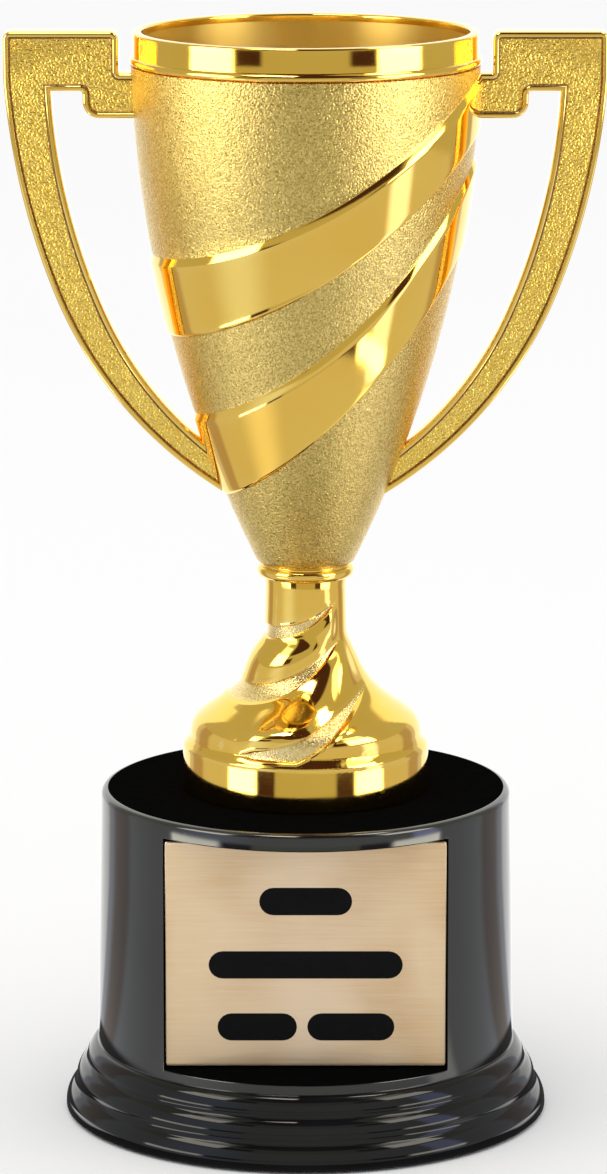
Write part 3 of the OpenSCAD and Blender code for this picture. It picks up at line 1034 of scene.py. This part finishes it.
def make_rod():
    verts, faces = screw_thread(ROD_HIGH[0], *ROD_THREAD, ROD_LOW[2], ROD_HIGH[2])
    return build("threaded_rod", verts, faces, [STEEL], ["tie_rod"], sharp=math.pi)


def make_nut(name, node):
    """A hexagon nut with chamfered corners, its flats facing the way that the CAD nut's do."""
    low, high = mm_box(node)
    wide, deep = (high - low)[:2]
    flat = min(wide, deep) / 2
    sixth = math.radians(60)
    count = 96
    angles = around(count)
    offset = sixth / 2 if wide > deep else 0.0
    hexagon = flat / np.cos((angles + math.pi + offset) % sixth - sixth / 2)
    drop = np.maximum(hexagon - flat * 1.02, 0) * math.tan(math.radians(30))
    face_r = flat * 0.94
    hole = ROD_HIGH[0] + 0.05
    lead_in = 0.4
    rows = [
        ring(hole, low[2] + lead_in, angles),
        ring(hole + lead_in, low[2], angles),
        ring(face_r, low[2], angles),
        ring(hexagon, low[2] + 0.1 + drop, angles),
        ring(hexagon, high[2] - 0.1 - drop, angles),
        ring(face_r, high[2], angles),
        ring(hole + lead_in, high[2], angles),
        ring(hole, high[2] - lead_in, angles),
    ]
    verts = np.concatenate(rows)
    faces = grid_faces(len(rows), count)
    return build(name, verts, faces, [STEEL], [node], sharp=math.radians(25))


def make_washer(name, node):
    low, high = mm_box(node)
    edge = 0.18
    outer = high[0]
    hole = HOLE_R
    profile = [(hole, low[2] + edge), (hole + edge, low[2])]
    profile += arc(outer - edge, low[2] + edge, edge, -90, 0, 3)
    profile += arc(outer - edge, high[2] - edge, edge, 0, 90, 3)
    profile += [(hole + edge, high[2]), (hole, high[2] - edge)]
    verts, faces = lathe(profile, 96)
    return build(name, verts, faces, [STEEL], [node])


def make_split_washer(name, node):
    """A ring of square section with a slanted gap."""
    low, high = mm_box(node)
    outer = high[1]
    inner = HOLE_R
    half_gap = 0.45
    slant = 0.2
    section = [(inner, low[2], -slant), (outer, low[2], -slant)]
    section += [(outer, high[2], slant), (inner, high[2], slant)]
    steps = 72
    rows = []
    for t in np.linspace(0, 1, steps + 1):
        row = []
        for r, z, lean in section:
            start = math.radians(90) + (half_gap + lean) / r
            end = math.radians(450) + (lean - half_gap) / r
            a = start + (end - start) * t
            row.append((r * math.sin(a), -r * math.cos(a), z))
        rows.append(np.array(row))
    faces = grid_faces(len(rows), 4, closed=False)
    last = steps * 4
    faces += [(0, 1, 2, 3), (last + 3, last + 2, last + 1, last)]
    return build(name, np.concatenate(rows), faces, [STEEL], [node])


def pan_screw(head_r, head_t, length):
    """A cross-recessed pan head below z = 0 and a threaded shank above it."""
    count = 48
    angles = around(count)
    recess = 0.9
    rounding = 0.9
    slot = 0.45 + 1.15 * np.abs(np.cos(2 * angles)) ** 6
    rows = [
        ring(AXIS, -head_t + recess, angles),
        ring(slot * 0.7, -head_t + recess, angles),
        ring(slot, -head_t + 0.05, angles),
        ring(head_r * 0.66, -head_t, angles),
    ]
    for r, z in arc(head_r - rounding, -head_t + rounding, rounding, -80, 0, 5):
        rows.append(ring(r, z, angles))
    rows += [ring(head_r, 0.0, angles), ring(AXIS, 0.0, angles)]
    head = (np.concatenate(rows), grid_faces(len(rows), count))
    return head, screw_thread(SCREW_R, *SCREW_THREAD, -0.05, length)


def make_handle_screws():
    shell = Shells()
    for side in (-1, 1):
        for x, z in zip(SCREW_BOSS_X, HANDLE_SCREW_Z):
            for verts, faces in pan_screw(SCREW_HEAD_R, HANDLE_HEAD_T, HANDLE_SCREW_LENGTH):
                shell.add(move(lay_along_x(verts, side), (side * x, 0, z)), faces)
    return shell.build("handle_pan_screws", [STEEL], "zinc_steel", ["handle_screws"])


def make_cover_screws():
    shell = Shells()
    low, high = mm_box("cover_screws")
    seat = low[2] + COVER_HEAD_T
    for n in range(POSTS):
        turn = math.radians(90 + n * 360 / POSTS)
        for verts, faces in pan_screw(SCREW_HEAD_R, COVER_HEAD_T, high[2] - seat):
            spot = (POST_RING_R * math.cos(turn), POST_RING_R * math.sin(turn), seat)
            shell.add(move(verts, spot), faces)
    return shell.build("cover_pan_screws", [STEEL], "zinc_steel", ["cover_screws"])


# ---------------------------------------------------------------- stage and light


def floor_material():
    m = Nodes("pale_floor")
    m.set(Specular_IOR_Level=0.0)
    color = m.blend(m.noise(300, detail=1), (0.93, 0.93, 0.93), (0.95, 0.95, 0.95))
    return m.finish(color, m.spread(m.noise(40), 0.85, 0.95))


def make_floor():
    mesh = bpy.data.meshes.new("floor")
    half = 6.0
    corners = [(-half, -half, 0), (half, -half, 0), (half, half, 0), (-half, half, 0)]
    mesh.from_pydata(corners, [], [(0, 1, 2, 3)])
    mesh.materials.append(floor_material())
    place("floor", mesh)


TENT_R = 200.0
TENT_WALL = 240.0
TENT_RISE = 150.0
TENT_PATH = TENT_WALL + TENT_R * math.pi / 2
# Keeps the tent's foot clear of the floor
TENT_LIFT = 0.5
# The dome stops just short of the axis
TENT_LAST_TURN = 1.565
FLOOR_GLOW = (0.71, 0.735, 0.82)
MID = (0.56, 0.57, 0.50)
DARK = (0.065, 0.030, 0.035)
SHADE = (0.07, 0.07, 0.07)
STRIP = (6.9, 6.8, 6.9)
TOP_STRIP = (11, 11, 11.5)
GLEAM = (1.6, 1.8, 3.4)
HALO = (0.90, 1.05, 1.60)
FLOOR_HALO = (1.05, 1.08, 1.25)
FLOOR_GLEAM = (1.7, 1.7, 1.9)
DUSK = (0.50, 0.44, 0.42)
CREAM = (2.9, 2.9, 3.1)
WHITE = (1.35, 1.35, 1.35)

# What the tent shows: side (-1 left, 1 right, 0 both), azimuth from and to and its soft edge in degrees,
# path from and to, glow. The path runs out over the floor (below 0), up the wall and over the dome.
# Later rows lie on top.
PANELS = [
    (0, 0, 180, 0, 140, TENT_PATH, MID),
    (0, 0, 44, 6, 235, TENT_PATH, DARK),
    (0, 104, 128, 6, -TENT_R, 140, DUSK),
    (-1, 22, 78, 26, -TENT_R, 0, FLOOR_HALO),
    (-1, 22, 78, 26, 4, 140, HALO),
    (1, 54, 74, 5, -TENT_R, 0, FLOOR_GLEAM),
    (1, 54, 74, 5, 4, 140, GLEAM),
    (0, 0, 180, 0, -TENT_R, -122, SHADE),
    (0, 0, 26, 0, 15, 33, MID),
    (0, 26, 44, 2, 15, 33, DARK),
    (0, 44, 74, 2, 15, 33, STRIP),
    (0, 26, 44, 2, 158, 204, DARK),
    (0, 44, 77, 2, 158, 250, STRIP),
    (0, 66, 92, 6, -150, -128, CREAM),
    (0, 44, 76, 8, 250, 320, CREAM),
    (-1, 7, 51, 3, 400, 470, TOP_STRIP),
    (1, 67, 97, 3, 400, 470, TOP_STRIP),
    (0, 132, 200, 4, -TENT_R, TENT_PATH, WHITE),
]


def tent_point(path):
    """Radius and height at a distance along the tent's outline."""
    if path < 0:
        return max(TENT_R + path, 1.0), TENT_LIFT
    if path < TENT_WALL:
        return TENT_R, path + TENT_LIFT
    turn = min((path - TENT_WALL) / TENT_R, TENT_LAST_TURN)
    return TENT_R * math.cos(turn), TENT_WALL + TENT_RISE * math.sin(turn)


def tent_glow(azimuth, path):
    """Glow of the tent at an azimuth in degrees and a distance along its outline."""
    glow = np.array(FLOOR_GLOW)
    for side, start, end, soft, low, high, panel_glow in PANELS:
        if low <= path <= high and azimuth * side >= 0:
            inside = min(abs(azimuth) - start if start else soft + 1, end - abs(azimuth))
            share = smooth_step(inside / soft) if soft else float(inside >= 0)
            glow = glow + (np.array(panel_glow) - glow) * share
    return glow.tolist()


def glow_material():
    m = bpy.data.materials.new("tent_glow")
    m.use_nodes = True
    tree = m.node_tree
    tree.nodes.clear()
    color = tree.nodes.new("ShaderNodeAttribute")
    color.attribute_name = "glow"
    light = tree.nodes.new("ShaderNodeEmission")
    out = tree.nodes.new("ShaderNodeOutputMaterial")
    tree.links.new(color.outputs["Color"], light.inputs["Color"])
    tree.links.new(light.outputs["Emission"], out.inputs["Surface"])
    return m


def make_tent():
    """The studio's floor, walls, softboxes and dark cards, seen only in reflections."""
    count = 240
    angles = around(count)
    soft = 2.0
    paths = {-TENT_R, TENT_PATH}
    for panel in PANELS:
        for edge in panel[4:6]:
            paths |= {edge - soft, edge + soft}
    paths = sorted(path for path in paths if -TENT_R <= path <= TENT_PATH)
    dome_steps = np.linspace(TENT_WALL, TENT_PATH, 24)
    paths = sorted(set(paths) | set(dome_steps.tolist()))
    outline = [tent_point(path) for path in paths]
    verts = np.concatenate([ring(r, z, angles) for r, z in outline]) * MM
    mesh = bpy.data.meshes.new("tent")
    mesh.from_pydata([tuple(v) for v in verts], [], grid_faces(len(paths), count, closed=False))
    glow = mesh.color_attributes.new("glow", "FLOAT_COLOR", "POINT")
    values = []
    for path in paths:
        for turn in angles:
            values += [*tent_glow(math.degrees(turn), path), 1.0]
    glow.data.foreach_set("color", values)
    mesh.materials.append(glow_material())
    reflect_only(mesh)


def reflect_only(mesh):
    """Puts a mesh on the stage that only reflections show."""
    card = place(mesh.name, mesh)
    card.visible_camera = False
    card.visible_diffuse = False
    card.visible_shadow = False
    card.visible_transmission = False


def make_world():
    world = bpy.data.worlds.new("studio")
    bpy.context.scene.world = world
    world.use_nodes = True
    back = world.node_tree.nodes["Background"]
    back.inputs["Color"].default_value = (1.0, 1.0, 1.0, 1)
    back.inputs["Strength"].default_value = 1.0


def make_key_light():
    """A softbox high on the left, kept out of reflections because the tent shows one."""
    light = bpy.data.lights.new("overhead_softbox", "AREA")
    light.shape = "RECTANGLE"
    light.size = 1.2
    light.size_y = 0.9
    light.energy = 2.2
    lamp = place("overhead_softbox", light)
    lamp.location = (-0.5, -0.5, 1.3)
    lamp.rotation_euler = (Vector((0, 0, 0.1)) - lamp.location).to_track_quat("-Z", "Y").to_euler()
    lamp.visible_glossy = False
    lamp.visible_camera = False


def make_camera():
    data = bpy.data.cameras.new("camera")
    data.sensor_width = 36.0
    data.lens = 170.02
    data.clip_start = 0.01
    camera = place("camera", data)
    camera.location = (-0.0004, -1.0087, 0.3096)
    camera.rotation_euler = (math.radians(78.243), 0, 0)
    bpy.context.scene.camera = camera


make_bowl()
make_rim()
make_handle(-1, "handle_casting_left", "handle_left")
make_handle(1, "handle_casting_right", "handle_right")
make_stem()
make_base()
make_felt()
make_cover()
make_ballast()
make_plate()
make_infill()
make_rod()
make_nut("cup_hex_nut", "cup_nut")
make_nut("base_hex_nut", "base_nut")
make_washer("cup_flat_washer", "cup_washer")
make_washer("base_flat_washer", "base_washer")
make_split_washer("cup_spring_washer", "cup_lock_washer")
make_split_washer("base_spring_washer", "base_lock_washer")
make_handle_screws()
make_cover_screws()

tape_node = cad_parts["plate_tape"]
tape_node.data.materials.clear()
tape_node.data.materials.append(TAPE)

make_floor()
make_tent()
make_world()
make_key_light()
make_camera()
bpy.context.scene.view_settings.view_transform = "Standard"
